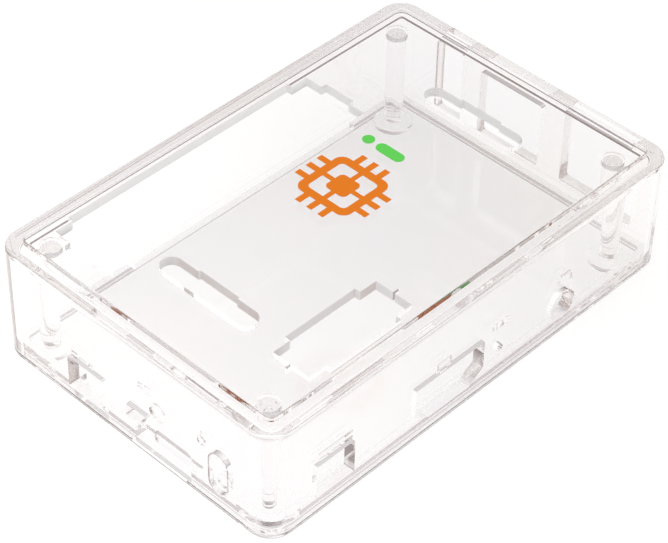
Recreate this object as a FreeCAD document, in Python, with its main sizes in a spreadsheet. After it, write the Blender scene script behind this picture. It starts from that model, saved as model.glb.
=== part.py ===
"""Clear protective case for a credit-card-sized single board computer.

Lengths are millimetres.  X runs along the long side, Y along the short side and Z up.
The origin is on the table, at the middle of the underside.  The front (-Y) carries the
power, video, microphone and headphone openings, the left side (-X) the card slot and the
press tongue, and the right side (+X) the network and plug openings.
"""
import FreeCAD, Part
import math
import os
import re
import Sketcher

V = FreeCAD.Vector
DOC = FreeCAD.newDocument("clear_case")
SHEET = "Dimensions"

DIMENSIONS = {
    # outer shape
    "case_length": 94.4,
    "case_width": 62.5,
    "corner_radius": 4.4,
    "base_rim": 1.0,
    "shoulder_height": 22.5,
    "plateau_height": 23.44,
    "plateau_inset": 3.0,
    "top_edge_round": 0.55,
    "plateau_edge_round": 0.3,
    "seam_round": 0.3,
    "seam_gap": 0.05,
    # shell
    "wall": 2.2,
    "ceiling_height": 20.7,
    "ceiling_recess": 21.64,
    "recess_inset": 3.9,
    "ceiling_round": 0.8,
    # base plate
    "floor_height": 1.2,
    "lip_height": 2.6,
    "lip_thickness": 1.2,
    "shell_gap": 0.2,
    "standoff_height": 2.0,
    "standoff_diameter": 7.0,
    "socket_diameter": 3.0,
    # board posts
    "hole_pitch_long": 80.0,
    "hole_pitch_short": 49.0,
    "pattern_x": -1.2,
    "pattern_y": -0.2,
    "post_foot": 3.6,
    "post_diameter": 3.4,
    "post_root_diameter": 3.9,
    "post_root_height": 1.0,
    "pin_foot": 1.1,
    "pin_diameter": 2.8,
    # openings in the top
    "header_x": -10.9,
    "header_y": 18.6,
    "header_length": 58.8,
    "header_width": 15.8,
    "camera_x": -22.65,
    "camera_y": -22.1,
    "camera_length": 24.7,
    "camera_width": 9.8,
    "tab_reach": 4.7,
    "tab_depth": 1.1,
    "vent_x": -0.95,
    "vent_y": -1.7,
    "vent_pitch": 61.1,
    "vent_length": 20.8,
    "vent_width": 4.0,
    "vent_notch_length": 8.6,
    "vent_notch_depth": 0.4,
    # front openings
    "power_x": -33.3,
    "power_z": 7.0,
    "power_width": 8.4,
    "power_height": 6.8,
    "video_x": -7.4,
    "video_z": 7.1,
    "video_width": 16.0,
    "video_height": 7.8,
    "video_chamfer_x": 3.2,
    "video_chamfer_z": 2.2,
    "microphone_x": 4.5,
    "microphone_z": 7.1,
    "microphone_diameter": 1.5,
    "audio_x": 20.1,
    "audio_z": 6.3,
    "audio_diameter": 6.0,
    # left openings
    "micro_usb_y": 10.5,
    "micro_usb_z": 5.8,
    "micro_usb_width": 8.2,
    "micro_usb_height": 6.4,
    "light_slot_y": -1.5,
    "light_slot_z": 7.0,
    "light_slot_width": 4.7,
    "light_slot_height": 2.6,
    "sensor_y": -6.4,
    "sensor_z": 11.1,
    "sensor_diameter": 3.6,
    "sensor_depth": 0.5,
    "grip_y": -9.8,
    "grip_z": 5.9,
    "grip_width": 8.2,
    "grip_height": 2.8,
    "grip_depth": 0.4,
    "card_y": -6.3,
    "card_width": 12.8,
    "card_depth": 5.0,
    "card_sill": 0.4,
    # press tongue in the left wall
    "tongue_y": -19.9,
    "tongue_z": 7.7,
    "tongue_slot_width": 4.5,
    "tongue_slot_height": 8.8,
    "tongue_gap": 0.35,
    "tongue_nub_diameter": 2.4,
    "tongue_nub_height": 1.2,
    # right openings
    "upright_y": 17.0,
    "upright_width": 6.2,
    "upright_top": 18.9,
    "network_y": 2.8,
    "network_width": 14.2,
    "network_top": 17.5,
    "stack_y": -16.7,
    "stack_width": 14.6,
    "stack_top": 20.1,
    "port_floor": 4.4,
    "port_corner": 0.6,
    # printed emblem
    "emblem_x": 1.3,
    "emblem_y": 1.2,
    "emblem_film": 0.06,
    "chip_size": 11.4,
    "chip_corner": 1.8,
    "chip_line": 1.5,
    "chip_pin_length": 2.2,
    "chip_pin_width": 1.15,
    "chip_pin_pitch": 2.55,
    "die_size": 4.4,
    "trace_width": 0.9,
    "accent_x": 11.6,
    "accent_y": 0.4,
    "accent_length": 5.8,
    "accent_width": 2.2,
    "accent_dot": 2.2,
    "accent_dot_shift": 4.9,
    # moulded signs beside the openings
    "sign_depth": 0.3,
    "front_sign_z": 12.4,
    "audio_sign_z": 12.2,
    "video_sign_shift": -1.7,
    "plug_sign_z": 10.5,
    "card_sign_z": 14.5,
    "card_sign_shift": 2.0,
    "press_sign_z": 12.5,
    "press_sign_shift": 3.6,
}


def make_sheet():
    sheet = DOC.addObject("Spreadsheet::Sheet", SHEET)
    for row, (alias, value) in enumerate(DIMENSIONS.items(), start=1):
        sheet.set(f"A{row}", alias.replace("_", " "))
        sheet.set(f"B{row}", str(value))
        sheet.setAlias(f"B{row}", alias)
    DOC.recompute()
    return sheet


sheet = make_sheet()


def bound(text):
    """An expression in dimension names, such as 'wall + floor_height', led to the sheet."""
    return re.sub("[a-z_]+", lambda word: f"{SHEET}.{word[0]}" if word[0] in DIMENSIONS else word[0],
                  text)


def size(text):
    """The value of an expression in dimension names, in millimetres."""
    return float(sheet.evalExpression(bound(text)))


# ---------------------------------------------------------------- sketches

def sketch_on(body, name, role, right="0", up="0", out="0"):
    """A sketch on one of the body's origin planes, moved along the plane's own axes.

    XY_Plane: right X, up Y, out Z.  XZ_Plane: right X, up Z, out -Y.
    YZ_Plane: right Y, up Z, out X.
    """
    plane = next(item for item in body.Origin.OriginFeatures if item.Role == role)
    sketch = body.newObject("Sketcher::SketchObject", name)
    sketch.AttachmentSupport = (plane, [""])
    sketch.MapMode = "FlatFace"
    for axis, text in zip("xyz", (right, up, out)):
        sketch.setExpression(f".AttachmentOffset.Base.{axis}", bound(text))
    return sketch


def constrain(sketch, kind, *places):
    return sketch.addConstraint(Sketcher.Constraint(kind, *places))


def measure(sketch, kind, text, *places):
    """A dimensional constraint whose value follows the sheet."""
    index = constrain(sketch, kind, *places, size(text))
    sketch.setExpression(f"Constraints[{index}]", bound(text))


def draw_rect(sketch, width, height):
    """A rectangle about the sketch's origin."""
    half_w, half_h = size(width) / 2, size(height) / 2
    corners = [V(-half_w, -half_h), V(half_w, -half_h), V(half_w, half_h), V(-half_w, half_h)]
    sides = [sketch.addGeometry(Part.LineSegment(corners[i], corners[(i + 1) % 4])) for i in range(4)]
    for i in range(4):
        constrain(sketch, "Coincident", sides[i], 2, sides[(i + 1) % 4], 1)
        constrain(sketch, "Vertical" if i % 2 else "Horizontal", sides[i])
    constrain(sketch, "Symmetric", sides[0], 1, sides[2], 1, -1, 1)
    measure(sketch, "DistanceX", width, sides[0], 1, sides[0], 2)
    measure(sketch, "DistanceY", height, sides[1], 1, sides[1], 2)


def draw_rounded_rect(sketch, width, height, radius):
    """A rectangle about the sketch's origin with four equal round corners."""
    half_w, half_h, r = size(width) / 2, size(height) / 2, size(radius)
    centres = [V(half_w - r, r - half_h), V(half_w - r, half_h - r),
               V(r - half_w, half_h - r), V(r - half_w, r - half_h)]
    arcs = []
    for i, centre in enumerate(centres):
        start = math.radians(90 * (i - 1))
        circle = Part.Circle(centre, V(0, 0, 1), r)
        arcs.append(sketch.addGeometry(Part.ArcOfCircle(circle, start, start + math.pi / 2)))
    sides = []
    for i in range(4):
        turn = V(math.cos(math.pi / 2 * i), math.sin(math.pi / 2 * i)) * r
        here, there = centres[i] + turn, centres[(i + 1) % 4] + turn
        sides.append(sketch.addGeometry(Part.LineSegment(here, there)))
    for i in range(4):
        constrain(sketch, "Tangent", arcs[i], 2, sides[i], 1)
        constrain(sketch, "Tangent", sides[i], 2, arcs[(i + 1) % 4], 1)
        constrain(sketch, "Horizontal" if i % 2 else "Vertical", sides[i])
    for arc in arcs[1:]:
        constrain(sketch, "Equal", arcs[0], arc)
    constrain(sketch, "Symmetric", arcs[0], 3, arcs[2], 3, -1, 1)
    measure(sketch, "Radius", radius, arcs[0])
    measure(sketch, "DistanceX", width, sides[2], 1, sides[0], 1)
    measure(sketch, "DistanceY", height, sides[3], 1, sides[1], 1)


def draw_stadium(sketch, width, height):
    """An upright slot with round ends about the sketch's origin."""
    r, reach = size(width) / 2, (size(height) - size(width)) / 2
    top = sketch.addGeometry(Part.ArcOfCircle(Part.Circle(V(0, reach), V(0, 0, 1), r), 0, math.pi))
    low = sketch.addGeometry(
        Part.ArcOfCircle(Part.Circle(V(0, -reach), V(0, 0, 1), r), math.pi, 2 * math.pi))
    left = sketch.addGeometry(Part.LineSegment(V(-r, reach), V(-r, -reach)))
    right = sketch.addGeometry(Part.LineSegment(V(r, -reach), V(r, reach)))
    for first, second in ((top, left), (left, low), (low, right), (right, top)):
        constrain(sketch, "Tangent", first, 2, second, 1)
    constrain(sketch, "Vertical", left)
    constrain(sketch, "Equal", top, low)
    constrain(sketch, "Symmetric", top, 3, low, 3, -1, 1)
    measure(sketch, "Radius", f"({width}) / 2", top)
    measure(sketch, "DistanceY", f"({height}) - ({width})", low, 3, top, 3)


def draw_circle(sketch, diameter):
    circle = sketch.addGeometry(Part.Circle(V(0, 0), V(0, 0, 1), size(diameter) / 2))
    constrain(sketch, "Coincident", circle, 3, -1, 1)
    measure(sketch, "Diameter", diameter, circle)


def draw_hole_pattern(sketch, diameter):
    """Four equal circles on the board's hole pattern, about the sketch's origin."""
    half_x, half_y = size("hole_pitch_long") / 2, size("hole_pitch_short") / 2
    places = [V(-half_x, -half_y), V(half_x, -half_y), V(half_x, half_y), V(-half_x, half_y)]
    circles = [sketch.addGeometry(Part.Circle(place, V(0, 0, 1), size(diameter) / 2))
               for place in places]
    for circle in circles[1:]:
        constrain(sketch, "Equal", circles[0], circle)
    constrain(sketch, "Symmetric", circles[0], 3, circles[2], 3, -1, 1)
    constrain(sketch, "Symmetric", circles[1], 3, circles[3], 3, -1, 1)
    constrain(sketch, "Horizontal", circles[0], 3, circles[1], 3)
    measure(sketch, "DistanceX", "hole_pitch_long", circles[0], 3, circles[1], 3)
    measure(sketch, "DistanceY", "hole_pitch_short", circles[1], 3, circles[2], 3)
    measure(sketch, "Diameter", diameter, circles[0])


# ---------------------------------------------------------------- solid features

def new_body(name):
    body = DOC.addObject("PartDesign::Body", name)
    body.Label = name
    return body


def volume(body):
    return body.Tip.Shape.Volume if body.Tip else 0.0


def pad(body, sketch, length, down=False):
    """Add material on the sketch's outline, along its outward side unless it goes down."""
    before = volume(body)
    feature = body.newObject("PartDesign::Pad", f"{sketch.Name}_pad")
    feature.Profile = sketch
    feature.setExpression("Length", bound(length))
    feature.Reversed = down
    DOC.recompute()
    if volume(body) <= before:
        raise RuntimeError(f"{feature.Name} adds nothing")


def pocket(body, sketch, length, onward=False):
    """Cut the sketch's outline, against its outward side unless it goes onward."""
    before = volume(body)
    feature = body.newObject("PartDesign::Pocket", f"{sketch.Name}_cut")
    feature.Profile = sketch
    feature.setExpression("Length", bound(length))
    feature.Reversed = onward
    DOC.recompute()
    if volume(body) >= before:
        raise RuntimeError(f"{feature.Name} cuts nothing")


def level_edges(body, height, inset=None):
    """Names of the tip's edges that lie flat at a height, on the outline at an inset."""
    names = []
    for index, edge in enumerate(body.Tip.Shape.Edges, start=1):
        box = edge.BoundBox
        flat = abs(box.ZMin - height) < 1e-4 and abs(box.ZMax - height) < 1e-4
        if flat and (inset is None or on_outline(edge, inset)):
            names.append(f"Edge{index}")
    return names


def on_outline(edge, inset):
    """Whether an edge's middle lies on the case's outline moved in by the inset."""
    middle = edge.valueAt((edge.FirstParameter + edge.LastParameter) / 2)
    half_x, half_y = size("case_length") / 2, size("case_width") / 2
    r = size("corner_radius")
    past_x = max(abs(middle.x) - (half_x - r), 0.0)
    past_y = max(abs(middle.y) - (half_y - r), 0.0)
    return abs(math.hypot(past_x, past_y) - (r - inset)) < 1e-3


def round_edges(body, name, radius, edges):
    base = body.Tip
    feature = body.newObject("PartDesign::Fillet", name)
    feature.Base = (base, edges)
    feature.setExpression("Radius", bound(radius))
    DOC.recompute()


def outline(body, name, height, inset):
    """The case's outline, moved in by an inset, as a level sketch."""
    sketch = sketch_on(body, name, "XY_Plane", out=height)
    draw_rounded_rect(sketch, f"case_length - 2 * ({inset})", f"case_width - 2 * ({inset})",
                      f"corner_radius - ({inset})")
    return sketch


def hole_pattern(body, name, height, diameter):
    sketch = sketch_on(body, name, "XY_Plane", "pattern_x", "pattern_y", height)
    draw_hole_pattern(sketch, diameter)
    return sketch


# ---------------------------------------------------------------- moulded signs

def sign(body, name, role, right, up, out, bars=(), rings=(), dots=(), onward=False):
    """Plain marks sunk into a wall: bars (x, z, width, height), rings (x, z, outer, inner
    diameter) and dots (x, z, diameter), each placed from the sign's middle."""
    sketch = sketch_on(body, name, role, right, up, out)
    for x, z, width, height in bars:
        corners = [V(x - width / 2, z - height / 2), V(x + width / 2, z - height / 2),
                   V(x + width / 2, z + height / 2), V(x - width / 2, z + height / 2)]
        for i in range(4):
            sketch.addGeometry(Part.LineSegment(corners[i], corners[(i + 1) % 4]))
    circles = [(x, z, d) for x, z, outer, inner in rings for d in (outer, inner)]
    for x, z, diameter in circles + list(dots):
        sketch.addGeometry(Part.Circle(V(x, z), V(0, 0, 1), diameter / 2))
    pocket(body, sketch, "sign_depth", onward)


# line widths of the signs, and each sign's bars as (x, z, width, height)
STROKE = 0.4
THIN = 0.3
POWER_SIGN = [(0.0, 0.5, 7.2, STROKE)] + [(x, -0.7, 2.0, STROKE) for x in (-2.6, 0.0, 2.6)]
SCREEN_SIGN = [(0.0, 1.0, 3.4, STROKE), (0.0, -0.4, 3.4, STROKE), (0.0, -1.0, 1.6, STROKE),
               (-1.5, 0.3, STROKE, 0.9), (1.5, 0.3, STROKE, 0.9)]
SOUND_SIGN = [(-2.0, 0.0, STROKE, 0.7), (-1.2, 0.0, STROKE, 1.3),
              (1.2, 0.0, STROKE, 1.3), (2.0, 0.0, STROKE, 0.7)]
HEADSET_SIGN = [(-1.5, -0.5, 0.6, 1.2), (1.5, -0.5, 0.6, 1.2), (0.0, 0.9, 2.4, STROKE)]
PLUG_SIGN = [(-1.6, 0.0, 1.2, 0.9), (0.2, 0.0, 1.8, STROKE),
             (2.2, 0.45, 1.4, THIN), (2.2, -0.45, 1.4, THIN)]
CARD_SIGN = [(0.0, 0.0, 1.2, 1.6), (1.6, 0.5, 1.0, THIN), (1.6, -0.3, 1.0, THIN)]
PRESS_BAR = (0.0, 1.6, THIN, 0.9)
PRESS_RING = (0.0, 0.0, 2.0, 1.3)
SOUND_DOT = (0.0, 0.0, 1.3)


def add_front_signs(body):
    front = "case_width / 2"
    sign(body, "power_sign", "XZ_Plane", "power_x", "front_sign_z", front, bars=POWER_SIGN)
    sign(body, "video_sign", "XZ_Plane", "video_x + video_sign_shift", "front_sign_z", front,
         bars=SCREEN_SIGN)
    sign(body, "microphone_sign", "XZ_Plane", "microphone_x", "front_sign_z", front,
         bars=SOUND_SIGN, dots=[SOUND_DOT])
    sign(body, "audio_sign", "XZ_Plane", "audio_x", "audio_sign_z", front, bars=HEADSET_SIGN)


def add_left_signs(body):
    left = "-case_length / 2"
    sign(body, "plug_sign", "YZ_Plane", "micro_usb_y", "plug_sign_z", left, bars=PLUG_SIGN,
         onward=True)
    sign(body, "card_sign", "YZ_Plane", "card_y + card_sign_shift", "card_sign_z", left,
         bars=CARD_SIGN, onward=True)
    sign(body, "press_sign", "YZ_Plane", "tongue_y + press_sign_shift", "press_sign_z", left,
         bars=[PRESS_BAR], rings=[PRESS_RING], onward=True)


# ---------------------------------------------------------------- top cover

def add_shell(body):
    seam = "base_rim + seam_gap"
    pad(body, outline(body, "walls", seam, "0"), f"shoulder_height - ({seam})")
    top = level_edges(body, size("shoulder_height"))
    round_edges(body, "top_edge", "top_edge_round", top)
    pad(body, outline(body, "plateau", "shoulder_height", "plateau_inset"),
        "plateau_height - shoulder_height")
    raised = level_edges(body, size("plateau_height"))
    round_edges(body, "plateau_edge", "plateau_edge_round", raised)
    round_edges(body, "seam_edge", "seam_round", level_edges(body, size(seam)))
    pocket(body, outline(body, "cavity", seam, "wall"), f"ceiling_height - ({seam})", onward=True)
    inner = level_edges(body, size("ceiling_height"), size("wall"))
    round_edges(body, "ceiling_edge", "ceiling_round", inner)
    pocket(body, outline(body, "recess", "ceiling_height", "recess_inset"),
           "ceiling_recess - ceiling_height", onward=True)


def add_posts(body):
    pad(body, hole_pattern(body, "posts", "ceiling_recess", "post_diameter"),
        "ceiling_recess - post_foot", down=True)
    pad(body, hole_pattern(body, "post_roots", "ceiling_recess", "post_root_diameter"),
        "post_root_height", down=True)
    pad(body, hole_pattern(body, "pins", "post_foot", "pin_diameter"), "post_foot - pin_foot", down=True)


def cut_tabbed_opening(body, name, x, y, length, width):
    """A window in the top whose four corners keep small L-shaped tabs."""
    depth = "plateau_height - ceiling_height + post_root_height"
    outlines = (
        ("long", f"{length}", f"{width} - 2 * tab_reach"),
        ("wide", f"{length} - 2 * tab_reach", f"{width}"),
        ("core", f"{length} - 2 * tab_depth", f"{width} - 2 * tab_depth"),
    )
    for part, span_x, span_y in outlines:
        sketch = sketch_on(body, f"{name}_{part}", "XY_Plane", x, y, "plateau_height")
        draw_rect(sketch, span_x, span_y)
        pocket(body, sketch, depth)


def cut_vents(body):
    for side, x in (("left", "vent_x - vent_pitch / 2"), ("right", "vent_x + vent_pitch / 2")):
        slot = sketch_on(body, f"{side}_vent", "XY_Plane", x, "vent_y", "plateau_height")
        draw_stadium(slot, "vent_width", "vent_length")
        pocket(body, slot, "plateau_height - ceiling_height")
        notch = sketch_on(body, f"{side}_vent_notch", "XY_Plane", f"{x} + vent_notch_depth",
                          "vent_y", "plateau_height")
        draw_rect(notch, "vent_width", "vent_notch_length")
        pocket(body, notch, "plateau_height - ceiling_height")


def cut_front_ports(body):
    front = "case_width / 2"
    power = sketch_on(body, "power_port", "XZ_Plane", "power_x", "power_z", front)
    draw_rounded_rect(power, "power_width", "power_height", "port_corner / 2")
    pocket(body, power, "wall + ceiling_round")
    video = sketch_on(body, "video_port", "XZ_Plane", "video_x", "video_z", front)
    draw_chamfered_port(video)
    pocket(body, video, "wall + ceiling_round")
    for name in ("microphone", "audio"):
        hole = sketch_on(body, f"{name}_port", "XZ_Plane", f"{name}_x", f"{name}_z", front)
        draw_circle(hole, f"{name}_diameter")
        pocket(body, hole, "wall + ceiling_round")


def draw_chamfered_port(sketch):
    """A wide port whose two lower corners are cut off at a slant."""
    half_w, half_h = size("video_width") / 2, size("video_height") / 2
    cut_x, cut_z = size("video_chamfer_x"), size("video_chamfer_z")
    points = [V(cut_x - half_w, -half_h), V(half_w - cut_x, -half_h), V(half_w, cut_z - half_h),
              V(half_w, half_h), V(-half_w, half_h), V(-half_w, cut_z - half_h)]
    lines = [sketch.addGeometry(Part.LineSegment(points[i], points[(i + 1) % 6])) for i in range(6)]
    for i in range(6):
        constrain(sketch, "Coincident", lines[i], 2, lines[(i + 1) % 6], 1)
    low, top, right, left = lines[0], lines[3], lines[2], lines[4]
    for line in (right, left):
        constrain(sketch, "Vertical", line)
    constrain(sketch, "Symmetric", low, 1, low, 2, -2)
    constrain(sketch, "Symmetric", top, 1, top, 2, -2)
    measure(sketch, "DistanceX", "video_width", top, 2, top, 1)
    measure(sketch, "DistanceX", "video_width - 2 * video_chamfer_x", low, 1, low, 2)
    measure(sketch, "DistanceY", "video_height", low, 2, top, 1)
    measure(sketch, "DistanceY", "video_height / 2", -1, 1, top, 1)
    measure(sketch, "DistanceY", "video_height - video_chamfer_z", right, 1, right, 2)
    constrain(sketch, "Horizontal", left, 2, right, 1)


def cut_left_ports(body):
    left = "-case_length / 2"
    for name in ("micro_usb", "light_slot"):
        port = sketch_on(body, f"{name}_port", "YZ_Plane", f"{name}_y", f"{name}_z", left)
        draw_rounded_rect(port, f"{name}_width", f"{name}_height", "port_corner / 2")
        pocket(body, port, "wall + ceiling_round", onward=True)
    dimple = sketch_on(body, "sensor_dimple", "YZ_Plane", "sensor_y", "sensor_z", left)
    draw_circle(dimple, "sensor_diameter")
    pocket(body, dimple, "sensor_depth", onward=True)
    grip = sketch_on(body, "grip_dent", "YZ_Plane", "grip_y", "grip_z", left)
    draw_rounded_rect(grip, "grip_width", "grip_height", "grip_height / 3")
    pocket(body, grip, "grip_depth", onward=True)
    slot = sketch_on(body, "tongue_slot", "YZ_Plane", "tongue_y", "tongue_z", left)
    draw_stadium(slot, "tongue_slot_width", "tongue_slot_height")
    pocket(body, slot, "wall + ceiling_round", onward=True)


def cut_right_ports(body):
    for name in ("upright", "network", "stack"):
        port = sketch_on(body, f"{name}_port", "YZ_Plane", f"{name}_y",
                         f"({name}_top + port_floor) / 2", "case_length / 2")
        draw_rounded_rect(port, f"{name}_width", f"{name}_top - port_floor", "port_corner")
        pocket(body, port, "wall + ceiling_round")


def make_top_cover():
    body = new_body("top_cover")
    add_shell(body)
    add_posts(body)
    cut_tabbed_opening(body, "header", "header_x", "header_y", "header_length", "header_width")
    cut_tabbed_opening(body, "camera", "camera_x", "camera_y", "camera_length", "camera_width")
    cut_vents(body)
    cut_front_ports(body)
    cut_left_ports(body)
    cut_right_ports(body)
    add_front_signs(body)
    add_left_signs(body)
    return body


# ---------------------------------------------------------------- base plate

def make_base_plate():
    body = new_body("base_plate")
    pad(body, outline(body, "rim", "0", "0"), "base_rim")
    for name, height in (("foot_edge", "0"), ("rim_edge", "base_rim")):
        round_edges(body, name, "seam_round", level_edges(body, size(height)))
    inset = "wall + shell_gap"
    pad(body, outline(body, "lip", "base_rim", inset), "lip_height - base_rim")
    pocket(body, outline(body, "tray", "lip_height", f"{inset} + lip_thickness"),
           "lip_height - floor_height")
    pad(body, hole_pattern(body, "standoffs", "floor_height", "standoff_diameter"),
        "standoff_height - floor_height")
    pocket(body, hole_pattern(body, "sockets", "standoff_height", "socket_diameter"),
           "standoff_height - base_rim")
    notch = sketch_on(body, "card_slot", "XY_Plane", "-case_length / 2", "card_y", "lip_height")
    draw_rect(notch, "2 * card_depth", "card_width")
    pocket(body, notch, "lip_height - card_sill")
    gap = sketch_on(body, "micro_usb_gap", "XY_Plane", "-case_length / 2", "micro_usb_y", "lip_height")
    draw_rect(gap, "2 * card_depth", "micro_usb_width")
    pocket(body, gap, "lip_height - floor_height")
    return body


# ---------------------------------------------------------------- press tongue

def make_press_tongue():
    """The tongue that a finger pushes in to reach the board's key."""
    body = new_body("press_tongue")
    left = "-case_length / 2"
    blade = sketch_on(body, "blade", "YZ_Plane", "tongue_y", "tongue_z", left)
    draw_stadium(blade, "tongue_slot_width - 2 * tongue_gap", "tongue_slot_height - 2 * tongue_gap")
    pad(body, blade, "wall")
    nub = sketch_on(body, "nub", "YZ_Plane", "tongue_y", "tongue_z - tongue_slot_height / 4",
                    f"{left} + wall")
    draw_circle(nub, "tongue_nub_diameter")
    pad(body, nub, "tongue_nub_height")
    return body


# ---------------------------------------------------------------- printed emblem

def make_chip_print():
    """A chip seen from above: a square ring, a die, four traces and twelve pins."""
    body = new_body("chip_print")
    ring = sketch_on(body, "ring", "XY_Plane", "emblem_x", "emblem_y", "plateau_height")
    draw_rounded_rect(ring, "chip_size", "chip_size", "chip_corner")
    draw_rounded_rect(ring, "chip_size - 2 * chip_line", "chip_size - 2 * chip_line", "chip_corner / 2")
    pad(body, ring, "emblem_film")
    die = sketch_on(body, "die", "XY_Plane", "emblem_x", "emblem_y", "plateau_height")
    draw_rounded_rect(die, "die_size", "die_size", "chip_corner / 2")
    for name, width, height in (("traces_x", "chip_size - chip_line", "trace_width"),
                                ("traces_y", "trace_width", "chip_size - chip_line")):
        trace = sketch_on(body, name, "XY_Plane", "emblem_x", "emblem_y", "plateau_height")
        draw_rect(trace, width, height)
        pad(body, trace, "emblem_film")
    pad(body, die, "emblem_film")
    reach = "(chip_size + chip_pin_length) / 2 - chip_line / 4"
    for step in (-1, 0, 1):
        for turn, (x, y) in enumerate(((reach, f"{step} * chip_pin_pitch"),
                                       (f"{step} * chip_pin_pitch", reach),
                                       (f"-({reach})", f"{step} * chip_pin_pitch"),
                                       (f"{step} * chip_pin_pitch", f"-({reach})"))):
            pin = sketch_on(body, f"pin_{turn}_{step + 1}", "XY_Plane", f"emblem_x + {x}",
                            f"emblem_y + {y}", "plateau_height")
            along = ("chip_pin_length + chip_line / 2", "chip_pin_width")
            draw_rect(pin, *(along if turn % 2 == 0 else along[::-1]))
            pad(body, pin, "emblem_film")
    return body


def make_accent_print(name, shift, draw):
    body = new_body(name)
    sketch = sketch_on(body, f"{name}_shape", "XY_Plane", f"emblem_x + accent_x + {shift[0]}",
                       f"emblem_y + accent_y + {shift[1]}", "plateau_height")
    draw(sketch)
    pad(body, sketch, "emblem_film")
    return body


def check_and_export(bodies):
    DOC.recompute()
    for item in DOC.Objects:
        if "Invalid" in item.State or "Error" in item.State:
            raise RuntimeError(f"{item.Name} is {item.State}")
    os.makedirs("parts", exist_ok=True)
    for body in bodies:
        shape = body.Shape
        if shape.isNull() or not shape.isValid() or len(shape.Solids) != 1:
            raise RuntimeError(f"{body.Label} is not one valid solid")
        shape.exportStep(f"parts/{body.Label}.step")
        box = shape.optimalBoundingBox(False, False)
        print(f"{body.Label}: {shape.Volume:.1f} mm3, x {box.XMin:.2f}..{box.XMax:.2f}, "
              f"y {box.YMin:.2f}..{box.YMax:.2f}, z {box.ZMin:.2f}..{box.ZMax:.2f}")


check_and_export([
    make_base_plate(),
    make_top_cover(),
    make_press_tongue(),
    make_chip_print(),
    make_accent_print("accent_bar", ("0", "0"),
                      lambda sketch: draw_stadium(sketch, "accent_width", "accent_length")),
    make_accent_print("accent_dot", ("0", "accent_dot_shift"),
                      lambda sketch: draw_circle(sketch, "accent_dot")),
])
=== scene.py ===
"""Studio view of a clear two-part protective case for a single board computer.

Lengths are metres.  The case stands on the table with its middle at the origin; X runs along
its long side, Y along its short side and Z up.
"""

import math

import bpy
from mathutils import Matrix, Vector


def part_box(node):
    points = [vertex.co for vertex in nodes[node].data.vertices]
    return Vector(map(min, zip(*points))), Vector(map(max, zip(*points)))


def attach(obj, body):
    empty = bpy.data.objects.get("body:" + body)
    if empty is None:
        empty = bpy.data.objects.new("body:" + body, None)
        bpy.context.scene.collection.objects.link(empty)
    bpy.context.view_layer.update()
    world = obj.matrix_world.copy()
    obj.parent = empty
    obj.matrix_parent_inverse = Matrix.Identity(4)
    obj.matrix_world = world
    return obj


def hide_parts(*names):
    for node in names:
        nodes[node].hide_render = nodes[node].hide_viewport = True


MM = 0.001

# camera
CAMERA_TARGET = (-7.85, -5.9, 15.1)  # mm
CAMERA_ANGLES = (-46.666, 42.352, 1.355)  # azimuth, elevation and roll, degrees
CAMERA_DISTANCE = 392.9 * MM
SENSOR_WIDTH = 36.0
LENS = 131.5
CLIP_NEAR = 0.01
CLIP_FAR = 20.0

# clear plastic
CLEAR_IOR = 1.49
THICK_TINT = (0.975, 0.968, 0.99)
THIN_TINT = (1.0, 0.992, 0.972)
SMUDGE_ROUGHNESS = 0.05
RIPPLE_STRENGTH = 0.15
RIPPLE_HEIGHT = 0.02 * MM
ABSORPTION_COLOUR = (0.90, 0.875, 0.865, 1.0)
ABSORPTION_DENSITY = 25.0

# the slightly matt walls of the openings in the ceiling
MATT_ROUGHNESS = 0.4
MATT_TRANSMISSION = 0.4
MATT_SIDE = (-0.7, -0.7, 0.0)  # the walls that face this way are the matt ones
MATT_LEAST_FACING = 0.3
MATT_ABOVE = 20.8 * MM
MATT_REACH_X = 43.0 * MM
MATT_REACH_Y = 27.0 * MM

# printed ink
INK_SPECULAR = 0.3
INK_ROUGHNESS = (0.38, 0.55)
PRINT_BITE = 0.04 * MM
UNDERSIDE_BAND = 0.01 * MM

# radiance of the table and the room; the picture clips to white at 1
# painted shade: the table's glow is weaker to the right and far from the case
FLOOR_LEFT = 1.0
FLOOR_RIGHT = 0.81
FLOOR_TURN_X = (-0.06, 0.03)  # the glow goes from left to right between these
FLOOR_FADE_FROM = 0.4
FLOOR_FADE_TO = 1.2
FLOOR_FAR_SHARE = 0.35
FLOOR_GREY = 0.25
FLOOR_ROUGHNESS = 0.9
FLOOR_GLOW = (1.0, 0.995, 0.99, 1.0)
FLOOR_HALF = 6.0
FLOOR_DROP = 0.1 * MM
ROOM_DIM = (0.21, 0.155, 0.15)
ROOM_BRIGHT = (1.2, 1.2, 1.2)
KEY_SIDE = (-0.6, -0.2, 0.75)
KEY_SPREAD = (-0.35, 0.75)

# light goes round inside the clear walls many times before it gets out
BOUNCES = 100

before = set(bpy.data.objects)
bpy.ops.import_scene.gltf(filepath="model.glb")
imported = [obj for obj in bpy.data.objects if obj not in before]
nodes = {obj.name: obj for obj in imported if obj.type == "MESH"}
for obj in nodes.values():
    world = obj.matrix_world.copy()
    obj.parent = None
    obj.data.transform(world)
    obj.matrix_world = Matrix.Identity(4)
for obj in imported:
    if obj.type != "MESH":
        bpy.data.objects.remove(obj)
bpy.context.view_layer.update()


# ---------------------------------------------------------------- camera

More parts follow.
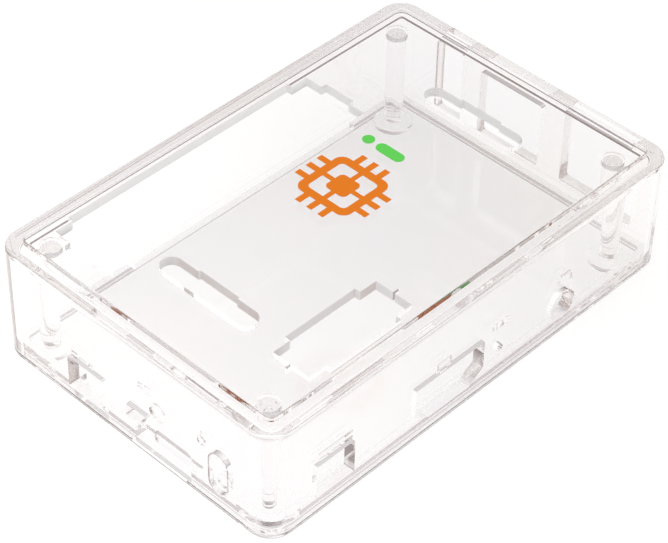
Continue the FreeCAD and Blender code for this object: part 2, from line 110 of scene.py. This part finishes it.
def make_camera():
    """A long lens that looks down on the front left corner."""
    azimuth, elevation, roll = map(math.radians, CAMERA_ANGLES)
    target = Vector(CAMERA_TARGET) * MM
    back = Vector((math.sin(azimuth) * math.cos(elevation),
                   -math.cos(azimuth) * math.cos(elevation),
                   math.sin(elevation)))
    level = Vector((math.cos(azimuth), math.sin(azimuth), 0.0))
    upright = back.cross(level)
    right = math.cos(roll) * level + math.sin(roll) * upright
    up = back.cross(right)

    data = bpy.data.cameras.new("camera")
    data.sensor_width = SENSOR_WIDTH
    data.lens = LENS
    data.clip_start = CLIP_NEAR
    data.clip_end = CLIP_FAR
    camera = bpy.data.objects.new("camera", data)
    turn = Matrix((right, up, back)).transposed().to_4x4()
    camera.matrix_world = Matrix.Translation(target + back * CAMERA_DISTANCE) @ turn
    bpy.context.scene.collection.objects.link(camera)
    bpy.context.scene.camera = camera


# ---------------------------------------------------------------- shader nodes

def new_material(name):
    """A node material, with its tree and its Principled shader."""
    material = bpy.data.materials.new(name)
    material.use_nodes = True
    tree = material.node_tree
    return material, tree, tree.nodes["Principled BSDF"]


def place(tree):
    """Where a point of the surface is, in metres."""
    return tree.nodes.new("ShaderNodeTexCoord").outputs["Object"]


def noise(tree, scale, detail=2.0, roughness=0.5):
    """Noise from 0 to 1 over the surface."""
    node = tree.nodes.new("ShaderNodeTexNoise")
    node.inputs["Scale"].default_value = scale
    node.inputs["Detail"].default_value = detail
    node.inputs["Roughness"].default_value = roughness
    tree.links.new(place(tree), node.inputs["Vector"])
    return node.outputs["Fac"]


def blend_colours(tree, factor, low, high):
    """The colour low where the factor is 0 and high where it is 1."""
    node = tree.nodes.new("ShaderNodeMix")
    node.data_type = "RGBA"
    node.inputs["A"].default_value = (*low, 1.0)
    node.inputs["B"].default_value = (*high, 1.0)
    tree.links.new(factor, node.inputs["Factor"])
    return node.outputs["Result"]


def value_range(tree, value, source, result):
    """A value led from one range to another, and held inside it."""
    node = tree.nodes.new("ShaderNodeMapRange")
    node.inputs["From Min"].default_value, node.inputs["From Max"].default_value = source
    node.inputs["To Min"].default_value, node.inputs["To Max"].default_value = result
    tree.links.new(value, node.inputs["Value"])
    return node.outputs["Result"]


def blend_values(tree, factor, low, high):
    """The value low where the factor is 0 and high where it is 1."""
    return value_range(tree, factor, (0.0, 1.0), (low, high))


def calculate(tree, operation, first, second):
    """A math operation on a value and another value or plain number."""
    node = tree.nodes.new("ShaderNodeMath")
    node.operation = operation
    tree.links.new(first, node.inputs[0])
    if isinstance(second, float):
        node.inputs[1].default_value = second
    else:
        tree.links.new(second, node.inputs[1])
    return node.outputs["Value"]


def split_vector(tree, vector):
    """The X, Y and Z of a vector."""
    node = tree.nodes.new("ShaderNodeSeparateXYZ")
    tree.links.new(vector, node.inputs["Vector"])
    return node.outputs


def component_along(tree, vector, direction):
    """How much of a vector lies along a direction."""
    node = tree.nodes.new("ShaderNodeVectorMath")
    node.operation = "DOT_PRODUCT"
    node.inputs[1].default_value = direction
    tree.links.new(vector, node.inputs[0])
    return node.outputs["Value"]


def vector_length(tree, vector):
    """How long a vector is."""
    node = tree.nodes.new("ShaderNodeVectorMath")
    node.operation = "LENGTH"
    tree.links.new(vector, node.inputs[0])
    return node.outputs["Value"]


# ---------------------------------------------------------------- materials

def matt_walls(tree):
    """1 on the front and left facing walls of the openings in the ceiling, 0 elsewhere."""
    at = split_vector(tree, place(tree))
    surface = tree.nodes.new("ShaderNodeNewGeometry").outputs
    along = component_along(tree, surface["Normal"], MATT_SIDE)
    # a wall met from inside the plastic shows a turned normal
    facing = calculate(tree, "SUBTRACT", along, surface["Backfacing"])
    mask = calculate(tree, "GREATER_THAN", facing, MATT_LEAST_FACING)
    mask = calculate(tree, "MULTIPLY", mask, calculate(tree, "GREATER_THAN", at["Z"], MATT_ABOVE))
    for axis, reach in (("X", MATT_REACH_X), ("Y", MATT_REACH_Y)):
        distance = calculate(tree, "ABSOLUTE", at[axis], 0.0)
        mask = calculate(tree, "MULTIPLY", mask, calculate(tree, "LESS_THAN", distance, reach))
    return mask


def clear_plastic():
    """Clear moulded plastic with faint flow marks, smudges and ripples."""
    material, tree, shader = new_material("clear_plastic")
    shader.inputs["IOR"].default_value = CLEAR_IOR
    tint = blend_colours(tree, noise(tree, 35.0), THICK_TINT, THIN_TINT)
    tree.links.new(tint, shader.inputs["Base Color"])
    smudges = blend_values(tree, noise(tree, 120.0, detail=4.0), 0.0, SMUDGE_ROUGHNESS)
    matt = matt_walls(tree)
    extra = calculate(tree, "MULTIPLY", matt, MATT_ROUGHNESS)
    tree.links.new(calculate(tree, "ADD", smudges, extra), shader.inputs["Roughness"])
    clearness = blend_values(tree, matt, 1.0, MATT_TRANSMISSION)
    tree.links.new(clearness, shader.inputs["Transmission Weight"])

    ripples = tree.nodes.new("ShaderNodeBump")
    ripples.inputs["Strength"].default_value = RIPPLE_STRENGTH
    ripples.inputs["Distance"].default_value = RIPPLE_HEIGHT
    tree.links.new(noise(tree, 140.0, detail=1.0), ripples.inputs["Height"])
    tree.links.new(ripples.outputs["Normal"], shader.inputs["Normal"])

    absorption = tree.nodes.new("ShaderNodeVolumeAbsorption")
    absorption.inputs["Color"].default_value = ABSORPTION_COLOUR
    absorption.inputs["Density"].default_value = ABSORPTION_DENSITY
    output = tree.nodes["Material Output"]
    tree.links.new(absorption.outputs["Volume"], output.inputs["Volume"])
    return material


def ink(name, thin, thick):
    """Opaque printed ink whose coat is a little uneven."""
    material, tree, shader = new_material(name)
    colour = blend_colours(tree, noise(tree, 900.0, detail=5.0, roughness=0.6), thin, thick)
    tree.links.new(colour, shader.inputs["Base Color"])
    shader.inputs["Specular IOR Level"].default_value = INK_SPECULAR
    coat = blend_values(tree, noise(tree, 2500.0, detail=3.0), *INK_ROUGHNESS)
    tree.links.new(coat, shader.inputs["Roughness"])
    return material


# ---------------------------------------------------------------- pieces

def cover_in(node, material):
    """Give a node one material all over."""
    node.data.materials.clear()
    node.data.materials.append(material)


def sunk_print(name, node, body, material):
    """The node's film as a print whose underside bites into the plastic."""
    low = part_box(node)[0].z
    mesh = nodes[node].data.copy()
    mesh.name = name
    for vertex in mesh.vertices:
        if vertex.co.z < low + UNDERSIDE_BAND:
            vertex.co.z = low - PRINT_BITE
    piece = bpy.data.objects.new(name, mesh)
    bpy.context.scene.collection.objects.link(piece)
    cover_in(piece, material)
    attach(piece, body)
    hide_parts(node)


# ---------------------------------------------------------------- studio

def make_floor():
    """A pale table that glows a little as over a light box; its glow is dimmed to the right and
    far off as painted shade.
    """
    mesh = bpy.data.meshes.new("floor")
    corners = [(-FLOOR_HALF, -FLOOR_HALF, 0), (FLOOR_HALF, -FLOOR_HALF, 0),
               (FLOOR_HALF, FLOOR_HALF, 0), (-FLOOR_HALF, FLOOR_HALF, 0)]
    mesh.from_pydata(corners, [], [(0, 1, 2, 3)])
    floor = bpy.data.objects.new("floor", mesh)
    floor.location.z = -FLOOR_DROP
    bpy.context.scene.collection.objects.link(floor)

    material, tree, shader = new_material("pale_floor")
    shader.inputs["Base Color"].default_value = (FLOOR_GREY, FLOOR_GREY, FLOOR_GREY, 1.0)
    shader.inputs["Roughness"].default_value = FLOOR_ROUGHNESS
    shader.inputs["Emission Color"].default_value = FLOOR_GLOW
    # painted shade: the glow dims from left to right and fades far from the case
    at_x = split_vector(tree, place(tree))["X"]
    glow_shaded_right = value_range(tree, at_x, FLOOR_TURN_X, (FLOOR_LEFT, FLOOR_RIGHT))
    distance = vector_length(tree, place(tree))
    glow_shaded_far = value_range(tree, distance, (FLOOR_FADE_FROM, FLOOR_FADE_TO), (1.0, FLOOR_FAR_SHARE))
    tree.links.new(calculate(tree, "MULTIPLY", glow_shaded_right, glow_shaded_far), shader.inputs["Emission Strength"])
    mesh.materials.append(material)


def make_world():
    """A pale room: a broad soft light high on the left, dimmer towards the back right."""
    world = bpy.data.worlds.new("room")
    world.use_nodes = True
    tree = world.node_tree
    skyward = tree.nodes.new("ShaderNodeTexCoord").outputs["Generated"]
    along = component_along(tree, skyward, Vector(KEY_SIDE).normalized())
    key = value_range(tree, along, KEY_SPREAD, (0.0, 1.0))
    background = tree.nodes["Background"]
    tree.links.new(blend_colours(tree, key, ROOM_DIM, ROOM_BRIGHT), background.inputs["Color"])
    bpy.context.scene.world = world


# ---------------------------------------------------------------- scene

scene = bpy.context.scene
scene.view_settings.view_transform = "Standard"
scene.cycles.max_bounces = BOUNCES
scene.cycles.transmission_bounces = BOUNCES
scene.cycles.glossy_bounces = BOUNCES
make_camera()
make_floor()
make_world()

plastic = clear_plastic()
for name in ("base_plate", "top_cover", "press_tongue"):
    cover_in(nodes[name], plastic)
orange = ink("orange_ink", (0.87, 0.225, 0.004), (0.83, 0.2, 0.003))
green = ink("green_ink", (0.14, 0.74, 0.11), (0.11, 0.66, 0.09))
sunk_print("chip_print_ink", "chip_print", "cover", orange)
sunk_print("accent_bar_ink", "accent_bar", "cover", green)
sunk_print("accent_dot_ink", "accent_dot", "cover", green)
